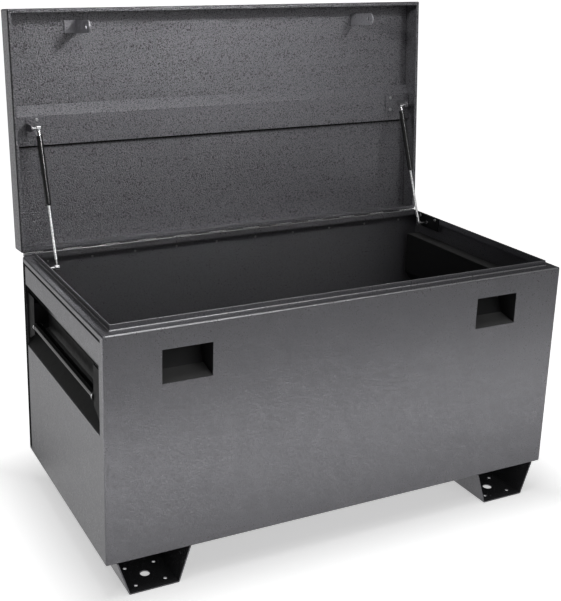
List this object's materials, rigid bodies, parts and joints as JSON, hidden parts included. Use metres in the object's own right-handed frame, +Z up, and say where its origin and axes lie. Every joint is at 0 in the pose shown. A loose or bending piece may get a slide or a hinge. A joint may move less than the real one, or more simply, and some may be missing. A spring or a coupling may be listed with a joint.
{
  "type": "jobsite storage box",
  "caption": "Sheet-steel jobsite storage chest on skids, with a hinged lid held open by gas struts, recessed end handles and recessed padlock pockets.",
  "frame": {"origin": "on the floor, under the middle of the box, midway between the large holes of the skids", "axes": "+X to the box's right, the front faces -Y, +Z up; the lid stands at its open stop"},
  "size_m": [1.22, 0.7274, 1.2422],
  "materials": {
    "grey_coat": "dark grey hammered powder coat, satin",
    "black_coat": "black powder coat, satin",
    "bright_steel": "hard chrome, polished",
    "plain_steel": "zinc plated, dull"
  },
  "bodies": {
    "box": {"front_panel": "grey_coat", "back_panel": "grey_coat", "left_side_panel": "grey_coat", "right_side_panel": "grey_coat", "floor_pan": "grey_coat", "top_rim": "grey_coat", "left_handle_recess": "black_coat", "right_handle_recess": "black_coat", "left_handle_bar": "black_coat", "right_handle_bar": "black_coat", "left_front_handle_bracket": "black_coat", "right_front_handle_bracket": "black_coat", "left_rear_handle_bracket": "black_coat", "right_rear_handle_bracket": "black_coat", "handle_collars": "bright_steel", "left_lock_housing": "black_coat", "right_lock_housing": "black_coat", "left_skid": "grey_coat", "right_skid": "grey_coat", "hinge_box_leaf": "grey_coat", "hinge_pin": "plain_steel", "hinge_box_rivets": "plain_steel", "left_box_strut_bracket": "grey_coat", "right_box_strut_bracket": "grey_coat", "left_box_ball_stud": "bright_steel", "right_box_ball_stud": "bright_steel", "box_bracket_screws": "plain_steel"},
    "lid": {"lid_pan": "grey_coat", "lid_stiffener": "grey_coat", "left_catch": "grey_coat", "right_catch": "grey_coat", "hinge_lid_leaf": "grey_coat", "hinge_lid_rivets": "plain_steel", "left_lid_strut_bracket": "grey_coat", "right_lid_strut_bracket": "grey_coat", "left_lid_ball_stud": "bright_steel", "right_lid_ball_stud": "bright_steel", "lid_bracket_rivets": "plain_steel"},
    "left_rod": {"left_rod_socket": "bright_steel", "left_strut_rod": "bright_steel", "left_strut_piston": "plain_steel"},
    "left_cylinder": {"left_strut_cylinder": "black_coat", "left_strut_gland": "black_coat", "left_cylinder_socket": "bright_steel"},
    "right_rod": {"right_rod_socket": "bright_steel", "right_strut_rod": "bright_steel", "right_strut_piston": "plain_steel"},
    "right_cylinder": {"right_strut_cylinder": "black_coat", "right_strut_gland": "black_coat", "right_cylinder_socket": "bright_steel"}
  },
  "joints": [
    {"name": "lid_hinge", "type": "hinge", "parent": "box", "child": "lid", "pos_m": [0, 0.3124, 0.626], "axis": [1, 0, 0], "range_deg": [0, 94.4]},
    {"name": "left_strut_swing", "type": "hinge", "parent": "box", "child": "left_rod", "pos_m": [-0.548, 0.208, 0.618], "axis": [1, 0, 0], "range_deg": [0, 109.49]},
    {"name": "left_strut_slide", "type": "slide", "parent": "left_rod", "child": "left_cylinder", "axis": [0, 0.3591, 0.9333], "range_m": [-0.13516, 0]},
    {"name": "right_strut_swing", "type": "hinge", "parent": "box", "child": "right_rod", "pos_m": [0.548, 0.208, 0.618], "axis": [1, 0, 0], "range_deg": [0, 109.49]},
    {"name": "right_strut_slide", "type": "slide", "parent": "right_rod", "child": "right_cylinder", "axis": [0, 0.3591, 0.9333], "range_m": [-0.13516, 0]}
  ],
  "couplings": [
    {"joint": "left_strut_swing", "follows": "lid_hinge", "ratio": 1.1597},
    {"joint": "left_strut_slide", "follows": "lid_hinge", "m_per_rad": -0.082029},
    {"joint": "right_strut_swing", "follows": "lid_hinge", "ratio": 1.1597},
    {"joint": "right_strut_slide", "follows": "lid_hinge", "m_per_rad": -0.082029}
  ]
}
